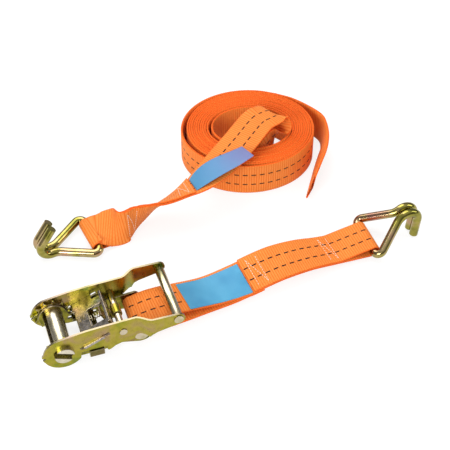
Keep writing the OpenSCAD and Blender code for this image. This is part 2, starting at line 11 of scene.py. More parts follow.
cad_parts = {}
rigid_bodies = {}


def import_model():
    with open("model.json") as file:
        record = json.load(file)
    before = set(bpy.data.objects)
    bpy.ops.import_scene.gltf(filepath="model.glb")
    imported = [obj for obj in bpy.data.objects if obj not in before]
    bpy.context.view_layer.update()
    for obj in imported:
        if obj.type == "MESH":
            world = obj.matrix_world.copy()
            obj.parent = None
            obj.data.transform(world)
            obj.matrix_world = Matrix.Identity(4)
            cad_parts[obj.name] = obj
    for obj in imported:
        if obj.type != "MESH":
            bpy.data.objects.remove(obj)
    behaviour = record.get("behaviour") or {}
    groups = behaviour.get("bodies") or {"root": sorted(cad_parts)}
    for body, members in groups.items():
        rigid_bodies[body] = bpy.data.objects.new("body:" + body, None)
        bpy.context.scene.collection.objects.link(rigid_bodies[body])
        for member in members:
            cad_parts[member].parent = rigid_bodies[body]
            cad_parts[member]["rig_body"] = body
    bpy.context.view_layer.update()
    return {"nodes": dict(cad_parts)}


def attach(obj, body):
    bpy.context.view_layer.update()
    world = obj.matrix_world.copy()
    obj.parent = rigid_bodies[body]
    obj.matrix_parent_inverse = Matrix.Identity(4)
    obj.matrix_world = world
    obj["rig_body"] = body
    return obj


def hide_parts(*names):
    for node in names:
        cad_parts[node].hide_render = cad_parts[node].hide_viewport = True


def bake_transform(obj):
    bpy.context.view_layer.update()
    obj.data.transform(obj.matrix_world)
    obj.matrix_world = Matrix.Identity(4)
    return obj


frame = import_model()
MM = 0.001

# Studio. A pale table top, a large soft lamp above and behind, another from the front left, a weak one
# at the right, and the camera at the height and turn of a product shot from above.
scene = bpy.context.scene
scene.view_settings.view_transform = "Standard"
FLOOR = -17.5
TABLE_TOP = (FLOOR - 0.25) * MM


def add_object(name, data):
    made = bpy.data.objects.new(name, data)
    scene.collection.objects.link(made)
    return made


def aim(thing, place, target):
    """Puts a lamp or the camera at its place and turns it to a target."""
    thing.location = place
    thing.rotation_euler = (Vector(target) - Vector(place)).to_track_quat("-Z", "Y").to_euler()


camera = add_object("camera", bpy.data.cameras.new("camera"))
camera.data.lens = 96.8
camera.data.sensor_width = 36
aim(camera, (-0.0701, -0.6532, 0.7939), (0.1785, 0.090, -0.0175))
scene.camera = camera


def soft_lamp(name, place, target, size, watts, tint):
    lamp = add_object(name, bpy.data.lights.new(name, "AREA"))
    lamp.data.shape = "RECTANGLE"
    lamp.data.size, lamp.data.size_y = size
    lamp.data.energy = watts
    lamp.data.color = tint
    aim(lamp, place, target)


soft_lamp("overhead", (0.08, 0.80, 1.12), (0.17, 0.09, 0), (0.9, 1.4), 12.5, (1, 0.985, 0.96))
soft_lamp("fill", (-0.75, -0.75, 0.55), (0.1, 0.05, 0), (0.8, 0.5), 13, (1, 0.99, 0.98))
soft_lamp("side", (1.15, -0.2, 0.6), (0.15, 0.1, 0), (0.4, 0.7), 3, (1, 1, 1))


def add_node(tree, kind, **settings):
    made = tree.nodes.new(kind)
    for key, value in settings.items():
        setattr(made, key, value)
    return made


def feed(tree, source, target):
    tree.links.new(source, target)


def plain_math(tree, kind, first, second=None):
    """A math node whose inputs are sockets or numbers."""
    made = add_node(tree, "ShaderNodeMath", operation=kind)
    for socket, value in zip(made.inputs, (first, second)):
        if hasattr(value, "is_linked"):
            feed(tree, value, socket)
        elif value is not None:
            socket.default_value = value
    return made.outputs[0]


def ramp(tree, factor, stops):
    made = add_node(tree, "ShaderNodeValToRGB")
    bands = made.color_ramp.elements
    while len(bands) < len(stops):
        bands.new(0.5)
    for band, (at, colour) in zip(bands, stops):
        band.position = at
        band.color = (*colour, 1)
    feed(tree, factor, made.inputs[0])
    return made.outputs[0]


world = bpy.data.worlds.new("studio")
scene.world = world
world.use_nodes = True
sky = world.node_tree
sky_at = add_node(sky, "ShaderNodeTexCoord")
sky_split = add_node(sky, "ShaderNodeSeparateXYZ")
feed(sky, sky_at.outputs["Generated"], sky_split.inputs[0])
sky_colour = ramp(sky, sky_split.outputs[2], [
    (0.0, (0.34, 0.34, 0.34)), (0.18, (0.24, 0.24, 0.24)), (0.45, (0.20, 0.20, 0.20)),
    (0.75, (0.50, 0.50, 0.50)), (1.0, (0.9, 0.9, 0.9))])
feed(sky, sky_colour, sky.nodes["Background"].inputs[0])
sky.nodes["Background"].inputs[1].default_value = 1.0

TABLE_REACH = 4.0
table_mesh = bpy.data.meshes.new("table_top")
table_mesh.from_pydata(
    [(x * TABLE_REACH, y * TABLE_REACH, TABLE_TOP) for x, y in ((-1, -1), (1, -1), (1, 1), (-1, 1))],
    [], [(0, 1, 2, 3)])
table = add_object("table_top", table_mesh)


def new_finish(name):
    made = bpy.data.materials.new(name)
    made.use_nodes = True
    return made, made.node_tree


table_finish, table_tree = new_finish("white_table")
table_tree.nodes.clear()
bounce = add_node(table_tree, "ShaderNodeBsdfDiffuse")
bounce.inputs[0].default_value = (0.82, 0.82, 0.82, 1)
shown = add_node(table_tree, "ShaderNodeBsdfDiffuse")
shown.inputs[0].default_value = (0.26, 0.26, 0.26, 1)
glow = add_node(table_tree, "ShaderNodeEmission")
glow.inputs[1].default_value = 0.80
together = add_node(table_tree, "ShaderNodeAddShader")
feed(table_tree, shown.outputs[0], together.inputs[0])
feed(table_tree, glow.outputs[0], together.inputs[1])
rays = add_node(table_tree, "ShaderNodeLightPath")
seen = plain_math(table_tree, "ADD", plain_math(table_tree, "ADD", rays.outputs["Is Camera Ray"],
                                                rays.outputs["Is Glossy Ray"]),
                  rays.outputs["Is Transmission Ray"])
blend_rays = add_node(table_tree, "ShaderNodeMixShader")
feed(table_tree, seen, blend_rays.inputs[0])
feed(table_tree, bounce.outputs[0], blend_rays.inputs[1])
feed(table_tree, together.outputs[0], blend_rays.inputs[2])
table_out = add_node(table_tree, "ShaderNodeOutputMaterial")
feed(table_tree, blend_rays.outputs[0], table_out.inputs[0])
table_mesh.materials.append(table_finish)


# Side plates of the buckle's body. Two sheared steel plates with a round end about the spindle and an
# eye for the strap bolt, plated in yellow zinc, which leaves gold, olive and pink bands on the steel. Their
# zinc, like that of the wheels and spring seat inside the buckle, is painted darker, as painted shade.
def noise(tree, at, scale, detail, distortion=0.0):
    made = add_node(tree, "ShaderNodeTexNoise")
    made.inputs["Scale"].default_value = scale
    made.inputs["Detail"].default_value = detail
    made.inputs["Distortion"].default_value = distortion
    feed(tree, at, made.inputs["Vector"])
    return made.outputs[0]


def rescaled(tree, share, low, high):
    """A share from 0 to 1, spread from low to high."""
    made = add_node(tree, "ShaderNodeMapRange")
    made.inputs["To Min"].default_value = low
    made.inputs["To Max"].default_value = high
    feed(tree, share, made.inputs["Value"])
    return made.outputs[0]


def multiplied(tree, first, second):
    """Two colours multiplied."""
    made = add_node(tree, "ShaderNodeMix", data_type="RGBA", blend_type="MULTIPLY")
    made.inputs["Factor"].default_value = 1.0
    feed(tree, first, made.inputs["A"])
    feed(tree, second, made.inputs["B"])
    return made.outputs["Result"]


def emboss(tree, height, strength, depth):
    """Relief on a finish, its depth in millimetres."""
    made = add_node(tree, "ShaderNodeBump")
    made.inputs["Strength"].default_value = strength
    made.inputs["Distance"].default_value = depth * MM
    feed(tree, height, made.inputs["Height"])
    feed(tree, made.outputs[0], tree.nodes["Principled BSDF"].inputs["Normal"])


def yellow_zinc(name, tints, gloss, grain=(1, 1, 1), grain_scale=700, mottle=0.12, relief=0.12, patch=42):
    """Passivated zinc: slow bands of colour, a fine mottle, and uneven gloss."""
    made, tree = new_finish(name)
    shader = tree.nodes["Principled BSDF"]
    shader.inputs["Metallic"].default_value = 1.0
    at = add_node(tree, "ShaderNodeTexCoord").outputs["Object"]
    bands = ramp(tree, noise(tree, at, patch, 3, 0.7), tints)
    spots = noise(tree, at, 260, 4)
    level = rescaled(tree, spots, 1 - mottle * 2, 1 + mottle)
    feed(tree, multiplied(tree, bands, level), shader.inputs["Base Color"])
    feed(tree, rescaled(tree, spots, *gloss), shader.inputs["Roughness"])
    turn = add_node(tree, "ShaderNodeMapping")
    turn.inputs["Scale"].default_value = grain
    feed(tree, at, turn.inputs["Vector"])
    emboss(tree, noise(tree, turn.outputs[0], grain_scale, 3), relief, 0.2)
    return made


# zinc of the parts inside the buckle: the plating's bands, painted darker than the handle's as painted
# shade
inner_zinc_painted_shade = yellow_zinc("inner_zinc_painted_shade", [
    (0.28, (0.06, 0.065, 0.012)), (0.44, (0.24, 0.22, 0.022)), (0.57, (0.36, 0.31, 0.04)),
    (0.72, (0.34, 0.22, 0.10))], (0.14, 0.32), (1, 1, 12), mottle=0.24, patch=75)
sheared_edge = yellow_zinc("sheared_edge", [
    (0.32, (0.29, 0.26, 0.12)), (0.50, (0.40, 0.34, 0.21)), (0.68, (0.38, 0.29, 0.22))], (0.26, 0.42))


def settle(piece):
    """Turns what the piece's modifiers make into its own plain mesh."""
    depsgraph = bpy.context.evaluated_depsgraph_get()
    mesh = bpy.data.meshes.new_from_object(piece.evaluated_get(depsgraph))
    piece.modifiers.clear()
    piece.data = mesh


def eased(node, name, edge, finish, segments=2, cut_sides=False):
    """A steel node with its sheared edges rounded: a merged copy of its solid, in its place.
    cut_sides gives a plate that lies across Y the edge finish on all its cut sides."""
    source = frame["nodes"][node]
    mesh = source.data.copy()
    mesh.name = name
    work = bmesh.new()
    work.from_mesh(mesh)
    bmesh.ops.remove_doubles(work, verts=work.verts, dist=2e-6)
    bmesh.ops.dissolve_limit(work, angle_limit=math.radians(0.6), verts=work.verts, edges=work.edges)
    work.normal_update()
    for face in work.faces:
        face.smooth = True
        face.material_index = int(cut_sides and abs(face.normal.y) < 0.5)
    mesh.materials.clear()
    mesh.materials.append(finish)
    mesh.materials.append(sheared_edge)
    work.to_mesh(mesh)
    work.free()
    if mesh.has_custom_normals:
        mesh.attributes.remove(mesh.attributes["custom_normal"])
    piece = add_object(name, mesh)
    rounding = piece.modifiers.new("edges", "BEVEL")
    rounding.width = edge * MM
    rounding.segments = segments
    rounding.limit_method = "ANGLE"
    rounding.angle_limit = math.radians(34)
    rounding.harden_normals = True
    rounding.material = 1
    settle(piece)
    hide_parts(node)
    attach(piece, source["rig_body"])


for side in ("near", "far"):
    eased("body_plate_" + side, "body_side_" + side, 0.3, inner_zinc_painted_shade, cut_sides=True)

# Strap bolt. A round steel bar through the eyes of the body plates, upset at both ends into a
# flat round head. The short strap's loop is sewn round it.
bar_zinc = yellow_zinc("bar_zinc", [
    (0.30, (0.36, 0.33, 0.16)), (0.46, (0.54, 0.47, 0.30)), (0.60, (0.62, 0.53, 0.39)),
    (0.74, (0.60, 0.46, 0.37))], (0.14, 0.27), (1, 0.05, 1), 520, 0.1, 0.03)


def face_outward(mesh):
    work = bmesh.new()
    work.from_mesh(mesh)
    bmesh.ops.recalc_face_normals(work, faces=work.faces)
    work.to_mesh(mesh)
    work.free()


def turned(name, node, middle, outline):
    """A round bar along Y through middle (x, z); outline is (y, radius) from its middle to its far end."""
    outline = [(-y, radius) for y, radius in reversed(outline)] + list(outline)
    ring = 56
    points, faces = [], []
    for y, radius in outline:
        for k in range(ring):
            turn = 2 * math.pi * k / ring
            points.append(((middle[0] + radius * math.cos(turn)) * MM, y * MM,
                           (middle[1] + radius * math.sin(turn)) * MM))
    for i in range(len(outline) - 1):
        for k in range(ring):
            this, after = ring * i + k, ring * i + (k + 1) % ring
            faces.append((this, this + ring, after + ring, after))
    last = ring * (len(outline) - 1)
    faces.append(tuple(range(ring)))
    faces.append(tuple(range(last + ring - 1, last - 1, -1)))
    mesh = bpy.data.meshes.new(name)
    mesh.from_pydata(points, [], faces)
    face_outward(mesh)
    mesh.shade_smooth()
    mesh.set_sharp_from_angle(angle=math.radians(38))
    mesh.materials.append(bar_zinc)
    piece = add_object(name, mesh)
    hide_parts(node)
    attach(piece, frame["nodes"][node]["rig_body"])


def head(start, radius, height):
    """Outline of a flat riveted head with a rounded rim, standing out from a plate at y = start."""
    top = start + height
    return [(start, radius - 0.25), (start + 0.12, radius - 0.06), (start + 0.3, radius),
            (top - 0.45, radius), (top - 0.2, radius - 0.12), (top - 0.07, radius - 0.4),
            (top - 0.02, radius - 0.9), (top, radius * 0.55)]


BOLT_AT, BOLT_R, BOLT_HALF, BOLT_HEAD_R, BOLT_HEAD = (67.5, -4), 5, 19.7, 6.4, 2.25
turned("strap_bolt_upset", "strap_bolt", BOLT_AT,
       [(0, BOLT_R), (BOLT_HALF, BOLT_R)] + head(BOLT_HALF, BOLT_HEAD_R, BOLT_HEAD))

# Spring seat of the lock pawl. A small cross plate of the same sheared steel, whose tenons are staked
# into both body plates; the fixed end of the pawl's spring rests on it.
eased("lock_spring_seat", "lock_spring_stay", 0.25, inner_zinc_painted_shade)

# Lock pawl. A thick sheared plate that slides in slots of the body and drops into the teeth of both
# wheels; its ears are bent down outside the wheels. Deep in the body, its zinc is painted dark, as painted
# shade.
deep_painted_shade_zinc = yellow_zinc("deep_painted_shade_zinc", [
    (0.30, (0.05, 0.045, 0.012)), (0.46, (0.14, 0.12, 0.03)), (0.58, (0.20, 0.15, 0.06)),
    (0.72, (0.26, 0.22, 0.08))], (0.2, 0.4), (1, 6, 1), 400, 0.2, patch=70)
eased("lock_pawl", "lock_pawl_plate", 0.4, deep_painted_shade_zinc, 3)


# Springs of both pawls. Round wire wound cold into open coils with a closed turn at each end; each is
# held between its pawl and its seat. In the buckle it shortens as the pawl is pulled back; here each coil
# is built at one fixed length.
def new_tree(name, inputs):
    """A Geometry Nodes tree with its inputs: the tree, their identifiers, and the nodes at its two ends."""
    tree = bpy.data.node_groups.new(name, "GeometryNodeTree")
    sockets = tree.interface
    sockets.new_socket("Geometry", in_out="INPUT", socket_type="NodeSocketGeometry")
    keys = {key: sockets.new_socket(key, in_out="INPUT", socket_type=kind).identifier
            for key, kind in inputs.items()}
    sockets.new_socket("Geometry", in_out="OUTPUT", socket_type="NodeSocketGeometry")
    return tree, keys, add_node(tree, "NodeGroupInput"), add_node(tree, "NodeGroupOutput")


def close_tree(tree, start, shape, end):
    """Makes a tree's shape real and gives it the finish from its inputs."""
    real = add_node(tree, "GeometryNodeRealizeInstances")
    paint = add_node(tree, "GeometryNodeSetMaterial")
    feed(tree, shape, real.inputs["Geometry"])
    feed(tree, real.outputs["Geometry"], paint.inputs["Geometry"])
    feed(tree, start.outputs["Finish"], paint.inputs["Material"])
    feed(tree, paint.outputs["Geometry"], end.inputs["Geometry"])


def grow(piece, tree, keys, sizes):
    """Runs a tree on a piece, with its inputs set by their identifiers, and keeps the plain mesh."""
    modifier = piece.modifiers.new(tree.name, "NODES")
    modifier.node_group = tree
    for key, value in sizes.items():
        modifier[keys[key]] = value
    settle(piece)


def wire_tree():
    """Sweeps a round wire along a line of points; the points' taper narrows it at the ends."""
    tree, keys, start, end = new_tree("round_wire", {
        "Wire Radius": "NodeSocketFloat", "Sides": "NodeSocketInt", "Finish": "NodeSocketMaterial"})
    line = add_node(tree, "GeometryNodeMeshToCurve")
    taper = add_node(tree, "GeometryNodeInputNamedAttribute", data_type="FLOAT")
    taper.inputs["Name"].default_value = "taper"
    widths = add_node(tree, "GeometryNodeSetCurveRadius")
    circle = add_node(tree, "GeometryNodeCurvePrimitiveCircle")
    sweep = add_node(tree, "GeometryNodeCurveToMesh")
    sweep.inputs["Fill Caps"].default_value = True
    smooth = add_node(tree, "GeometryNodeSetShadeSmooth")
    feed(tree, start.outputs["Geometry"], line.inputs["Mesh"])
    feed(tree, line.outputs["Curve"], widths.inputs["Curve"])
    feed(tree, taper.outputs["Attribute"], widths.inputs["Radius"])
    feed(tree, start.outputs["Wire Radius"], circle.inputs["Radius"])
    feed(tree, start.outputs["Sides"], circle.inputs["Resolution"])
    feed(tree, widths.outputs["Curve"], sweep.inputs["Curve"])
    feed(tree, circle.outputs["Curve"], sweep.inputs["Profile Curve"])
    feed(tree, sweep.outputs["Mesh"], smooth.inputs["Geometry"])
    close_tree(tree, start, smooth.outputs["Geometry"], end)
    return tree, keys


bent_wire, wire_keys = wire_tree()


def wire_piece(name, points, taper, radius, sides, finish):
    """points in millimetres; taper is each point's share of the radius."""
    line = bpy.data.meshes.new(name)
    line.from_pydata([tuple(p * MM) for p in points], [(i, i + 1) for i in range(len(points) - 1)], [])
    shares = line.attributes.new("taper", "FLOAT", "POINT")
    shares.data.foreach_set("value", np.asarray(taper, np.float32))
    piece = add_object(name, line)
    grow(piece, bent_wire, wire_keys, {"Wire Radius": radius * MM, "Sides": sides, "Finish": finish})
    face_outward(piece.data)
    return piece


SPRING_WIRE, CLOSED_TURN, END_PLAY = 0.42, 0.8, 0.06
spring_steel = yellow_zinc("spring_steel", [
    (0.3, (0.36, 0.33, 0.24)), (0.5, (0.52, 0.47, 0.34)), (0.7, (0.60, 0.52, 0.36))], (0.2, 0.34))


def wound(length, radius, curls):
    """Middle line of a compression spring along X from 0 to length, its end turns closed."""
    turns = np.linspace(0, curls, int(curls * 20) + 1)
    first, last = SPRING_WIRE + END_PLAY, length - SPRING_WIRE - END_PLAY
    step = SPRING_WIRE * 1.15
    rise = np.interp(turns, [0, CLOSED_TURN, curls - CLOSED_TURN, curls],
                     [first, first + step, last - step, last])
    return np.stack([rise, radius * np.cos(2 * np.pi * turns), radius * np.sin(2 * np.pi * turns)], 1)


LOCK_Z, LOCK_REAR, LOCK_SEAT, LOCK_HELD = -6.5, 35, 46, 0.5
lock_wire = wound(LOCK_SEAT - LOCK_REAR, 2.6, 6) + [LOCK_REAR, 0, LOCK_Z]
lock_coil = wire_piece("lock_coil", lock_wire, np.ones(len(lock_wire)), SPRING_WIRE, 12, spring_steel)
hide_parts("lock_spring")
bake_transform(lock_coil)

WHEEL_R, TIP_GAP, PAWL_T, PAWL_DROP = 16.2, 0.3, 3, 3
DRIVE_TILT, DRIVE_OFF, DRIVE_WINDOW, SEAT_BACK, DRIVE_HELD = 23.8, 5.43, (13, 28), 2.1, 0.4
along_drive = np.array([math.cos(math.radians(DRIVE_TILT)), 0, math.sin(math.radians(DRIVE_TILT))])
up_drive = np.array([-along_drive[2], 0, along_drive[0]])
drive_foot = -DRIVE_OFF * up_drive
drive_tip = math.sqrt((WHEEL_R + TIP_GAP) ** 2 - (DRIVE_OFF - PAWL_T / 2) ** 2)
drive_rear = drive_tip + DRIVE_WINDOW[0]
drive_seat = drive_tip + DRIVE_WINDOW[1] - PAWL_DROP - SEAT_BACK


def on_drive_line(points):
    """Points given along the drive pawl's slide, across it and above it."""
    along, across, above = np.hsplit(np.asarray(points, float), 3)
    return drive_foot + along * along_drive + across * [0, 1, 0] + above * up_drive


drive_wire = on_drive_line(wound(drive_seat - drive_rear, 2.4, 5) + [drive_rear, 0, 0])
drive_coil = wire_piece("drive_coil", drive_wire, np.ones(len(drive_wire)), SPRING_WIRE, 12, spring_steel)
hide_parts("drive_spring")
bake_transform(drive_coil)

# Ratchet wheels and the split spindle. Two toothed discs keyed on a spindle of two half-round bars;
# the strap's free end goes through the slot between the bars and winds on them.
spindle_zinc = yellow_zinc("spindle_zinc", [
    (0.30, (0.40, 0.36, 0.22)), (0.46, (0.66, 0.60, 0.45)), (0.60, (0.74, 0.67, 0.55)),
    (0.74, (0.70, 0.58, 0.49))], (0.20, 0.34), (1, 0.05, 1), 520, 0.12, 0.03)
for side in ("near", "far"):
    eased("ratchet_wheel_" + side, "toothed_disc_" + side, 0.22, inner_zinc_painted_shade)
for half in ("upper", "lower"):
    eased("spindle_half_" + half, "spindle_bar_" + half, 0.6, spindle_zinc, 3)

# Handle. Two long pressed plates that turn on the spindle and step outward to a wider grip, held
# apart by a round grip bar and a pin, both shouldered and riveted over outside the plates.
plate_zinc = yellow_zinc("plate_zinc", [
    (0.28, (0.16, 0.24, 0.045)), (0.42, (0.33, 0.31, 0.026)), (0.56, (0.40, 0.33, 0.045)),
    (0.70, (0.40, 0.27, 0.13))], (0.20, 0.38), (1, 1, 12), mottle=0.16)
for side in ("near", "far"):
    eased("handle_plate_" + side, "handle_side_" + side, 0.4, plate_zinc, 3, cut_sides=True)
HAND_IN, HAND_OUT, FLARE, RIVET_GAP = 22.4, 24.2, 7, 0.05
GRIP_AT, GRIP_R, GRIP_TENON = (97.5, 15.5), 4.2, 3.0
PIN_AT, PIN_R, PIN_TENON, PIN_HEAD_R = (51.3, 8.8), 3, 2.4, 3.4


def shouldered(inside, outside, radius, rim, tenon, rivet):
    """Outline of a bar that fills the gap between two plates and is riveted over outside them."""
    face, seat = inside - RIVET_GAP, outside + RIVET_GAP
    return [(0, radius), (inside - rim[0], radius), (face, radius - rim[1]), (face, tenon),
            (seat, tenon)] + head(seat, *rivet)


turned("grip_bar_riveted", "grip_bar", GRIP_AT,
       shouldered(HAND_IN + FLARE, HAND_OUT + FLARE, GRIP_R, (0.5, 0.3), GRIP_TENON, (GRIP_R, 1.1)))
turned("handle_pin_riveted", "handle_pin", PIN_AT,
       shouldered(HAND_IN, HAND_OUT, PIN_R, (0.4, 0.2), PIN_TENON, (PIN_HEAD_R, 0.9)))
eased("drive_spring_seat", "drive_spring_tongue", 0.3, plate_zinc)

# Drive pawl. A sheared plate with ears in the handle's slanted slots, a window for its spring and a
# bent lip for the fingers, which pull it out of the teeth to open the handle. It shows the rolled grey
# of worked steel through thin plating.
worked_zinc = yellow_zinc("worked_zinc", [
    (0.28, (0.12, 0.11, 0.08)), (0.42, (0.32, 0.29, 0.25)), (0.54, (0.50, 0.45, 0.42)),
    (0.64, (0.31, 0.27, 0.16)), (0.74, (0.56, 0.50, 0.44))], (0.18, 0.36), (1, 6, 1), 400, 0.28, patch=95)
eased("drive_pawl", "drive_pawl_plate", 0.5, worked_zinc, 3)


# Hooks. Round wire bent to a triangle round the strap's loop, its two ends laid side by side and
# curled into a double claw, then plated. The two hooks are alike and face opposite ways.
WIRE, BAR_HALF, HOOK_LENGTH, CLAW_BEND, CLAW_TURN, CLAW_LEG = 4.0, 18.4, 40, 9.75, 128, 19
WIRE_GAP, CORNER_PLAY, CORNER_OUT, NECK_BACK, NECK_BEND = 0.3, 0.75, 5, 5, 14
# distance back from the cut tip of a claw, and the wire's share of its radius there
TIP_ROUND = ((0.9, 1), (0.5, 0.985), (0.2, 0.93), (0.05, 0.86), (0, 0.8))
hook_zinc = yellow_zinc("hook_zinc", [
    (0.30, (0.15, 0.15, 0.03)), (0.44, (0.34, 0.30, 0.06)), (0.57, (0.46, 0.34, 0.17)),
    (0.70, (0.46, 0.24, 0.17))], (0.07, 0.19), (1, 1, 1), 300, 0.16, 0.03)


def bend(corner, into, out, radius, steps=18):
    """Points of a round bend at a corner between two straight runs."""
    turn = math.acos(np.dot(into, out))
    side = out - np.dot(out, into) * into
    side = side / np.linalg.norm(side)
    middle = corner - into * radius * math.tan(turn / 2) + side * radius
    angles = np.linspace(0, turn, steps)[:, None]
    return middle + radius * (np.sin(angles) * into - np.cos(angles) * side)


def hook_line():
    """Middle line of a hook's wire, its bar along Y at the origin and its claw toward +X, and its taper."""
    wire_y = WIRE + WIRE_GAP
    neck = np.array([HOOK_LENGTH - NECK_BACK, wire_y, 0])
    corner_r = WIRE + CORNER_PLAY
    arm_turn = math.pi / 2 + math.atan((BAR_HALF + CORNER_OUT - wire_y) / neck[0])
    corner = np.array([0, BAR_HALF + corner_r * math.tan(arm_turn / 2), 0])
    arm = (neck - corner) / np.linalg.norm(neck - corner)
    ahead = np.array([1.0, 0, 0])
    out = np.array([math.cos(math.radians(CLAW_TURN)), 0, math.sin(math.radians(CLAW_TURN))])
    reach = CLAW_BEND * math.tan(math.radians(CLAW_TURN) / 2)
    knee = np.array([HOOK_LENGTH + reach, wire_y, 0])
    tip = knee + out * (reach + CLAW_LEG)
    half = np.vstack([bend(corner, np.array([0, 1.0, 0]), arm, corner_r),
                      bend(neck, arm, ahead, NECK_BEND, 10),
                      bend(knee, ahead, out, CLAW_BEND, 28), [tip - out * back for back, _ in TIP_ROUND]])
    other = half[::-1] * [1, -1, 1]
    taper = np.ones(len(half))
    taper[-len(TIP_ROUND):] = [share for _, share in TIP_ROUND]
    return np.vstack([other, [[0, 0, 0]], half]), np.concatenate([taper[::-1], [1], taper])


def turn_about(axis, degrees):
    return np.array(Matrix.Rotation(math.radians(degrees), 3, axis))


UPSIDE_DOWN = np.diag([1, 1, -1])
WEB_T, BAR_WRAP = 1.6, 5.1
SHORT_BAR, SHORT_YAW, SHORT_PITCH = np.array([293, 26.04, FLOOR + 7]), 2.52, 33
LONG_BAR, LONG_YAW, LONG_PITCH = np.array([56.5, 111, FLOOR + BAR_WRAP + WEB_T / 2 + 0.7]), 8, 2.5
hook_turns = {
    "short": (SHORT_BAR, turn_about("Z", SHORT_YAW) @ turn_about("Y", -SHORT_PITCH) @ UPSIDE_DOWN),
    "long": (LONG_BAR, turn_about("Z", 180 + LONG_YAW) @ turn_about("Y", LONG_PITCH))}
hook_points, hook_taper = hook_line()
for strap_name, (bar_place, bar_turn) in hook_turns.items():
    placed = hook_points @ bar_turn.T + bar_place
    claw = wire_piece(strap_name + "_claw_hook", placed, hook_taper, WIRE, 28, hook_zinc)
    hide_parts(strap_name + "_hook")
    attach(claw, strap_name + "_hook")

# Short strap. Polyester webbing woven in cross ribs, with two dashed black tracer yarns; it runs from a
# loop round the strap bolt to a loop round the hook's bar, and its two ends are sewn down.
WEB_W, LAYER, RIB, COARSE = 35.0, 2.1, 2.3, 4.5
BOLT_WRAP = 6.1
FINER = 6


def through(points, steps=4):
    """A smooth curve through rows of numbers, with the same rule as the part's own lines."""
    p = np.asarray(points, float)
    p = np.vstack([2 * p[0] - p[1], p, 2 * p[-1] - p[-2]])
    t = np.linspace(0, 1, steps, endpoint=False)[:, None]
    spans = [0.5 * (2 * b + (c - a) * t + (2 * a - 5 * b + 4 * c - d) * t ** 2
                    + (3 * b - a - 3 * c + d) * t ** 3) for a, b, c, d in zip(p, p[1:], p[2:], p[3:])]
    return np.vstack(spans + [p[-2:-1]])


def unit(rows):
    return rows / np.linalg.norm(rows, axis=1, keepdims=True)


def lean(middle, across):
    """Directions along, across and out of a strip at each of its stations."""
    ahead = unit(np.vstack([middle[1:], middle[-1:]]) - np.vstack([middle[:1], middle[:-1]]))
    across = unit(across - (across * ahead).sum(1, keepdims=True) * ahead)
    return ahead, across, np.cross(across, ahead)


def run_of(middle):
    """Distance along a line of points."""
    return np.concatenate([[0], np.cumsum(np.linalg.norm(np.diff(middle, axis=0), axis=1))])


def stations(table, places):
    """The rows of a strip's table at given distances along it."""
    run = run_of(table[:, :3])
    return np.stack([np.interp(places, run, column) for column in table.T], 1)


# half of the upper face of the webbing's section: place across and height, as shares
SECTION_EDGE = [(0.985, 0.62), (0.94, 1), (0.7, 1), (0.42, 1), (0.14, 1)]
upper_face = [(-a, h, 1) for a, h in SECTION_EDGE] + [(a, h, 1) for a, h in reversed(SECTION_EDGE)]
lower_face = [(-a, -h, 0) for a, h, _ in upper_face]
# the whole outline, with 1 on the upper face, 0 on the lower one and 0.5 at the two edges
SECTION = np.array(upper_face + [(1, 0, 0.5)] + lower_face + [(-1, 0, 0.5)])


def webbing(name, table, finish, fine=None, rib_depth=0.13, both_faces=False):
    """A strip of cloth. table rows: middle (3), direction across (3), reach to either edge (2),
    thickness. fine lists the stretches, in millimetres along, where every rib of the weave is modelled."""
    total = run_of(table[:, :3])[-1]
    fine = fine or [(0, total)]
    places = [np.arange(a, b, RIB / 4) for a, b in fine]
    gaps = np.array([0] + [x for pair in fine for x in pair] + [total]).reshape(-1, 2)
    places += [np.arange(a, b, COARSE) for a, b in gaps if b - a > 0.01]
    places = np.unique(np.round(np.concatenate(places + [[total]]), 4))
    rows = stations(table, places)
    _, across, out = lean(rows[:, :3], rows[:, 3:6])
    ribbed = np.zeros(len(places), bool)
    for a, b in fine:
        ribbed |= (places >= a) & (places <= b)
    wave = np.where(ribbed, np.abs(np.sin(np.pi * places / RIB)) ** 0.8, 0.6)
    half = rows[:, 8] / 2 - rib_depth * (1 - wave)
    reach = np.where(SECTION[None, :, 0] < 0, rows[:, 6:7], rows[:, 7:8])
    reach = reach - 1.2 * rib_depth * (1 - wave)[:, None]
    points = (rows[:, None, :3] + across[:, None] * (SECTION[None, :, 0] * reach)[..., None]
              + out[:, None] * (SECTION[None, :, 1] * half[:, None])[..., None])
    count, ring = len(places), len(SECTION)
    i, k = np.meshgrid(np.arange(count - 1), np.arange(ring), indexing="ij")
    this, after = ring * i + k, ring * i + (k + 1) % ring
    faces = np.stack([this, after, after + ring, this + ring], -1).reshape(-1, 4).tolist()
    faces += [list(range(ring))[::-1], list(range(ring * (count - 1), ring * count))]
    mesh = bpy.data.meshes.new(name)
    mesh.from_pydata((points.reshape(-1, 3) * MM).tolist(), [], faces)
    outer = SECTION[:, 2] != 0.5 if both_faces else SECTION[:, 2]
    # painted_edge_shade marks the webbing's edges, which the finish paints a deeper red-orange as painted
    # shade and painted reflection of the orange layers beside them
    for key, values in (("along", np.repeat(places, ring)),
                        ("across", (SECTION[None, :, 0] * reach).ravel()),
                        ("painted_edge_shade", np.tile(np.clip((np.abs(SECTION[:, 0]) - 0.94) / 0.06, 0, 1), count)),
                        ("outer", np.tile(outer, count))):
        mesh.attributes.new(key, "FLOAT", "POINT").data.foreach_set("value", values.astype(np.float32))
    face_outward(mesh)
    mesh.shade_smooth()
    mesh.materials.append(finish)
    return add_object(name, mesh), total


YARN = 1.25
TRACER, TRACER_PITCH, TRACER_DASH = (5.2, 6.5), 8.0, (0.8, 5.3)


def overlaid(tree, factor, under, colour):
    """A plain colour laid over another by a factor."""
    made = add_node(tree, "ShaderNodeMix", data_type="RGBA")
    made.inputs["B"].default_value = (*colour, 1)
    feed(tree, factor, made.inputs["Factor"])
    feed(tree, under, made.inputs["A"])
    return made.outputs["Result"]


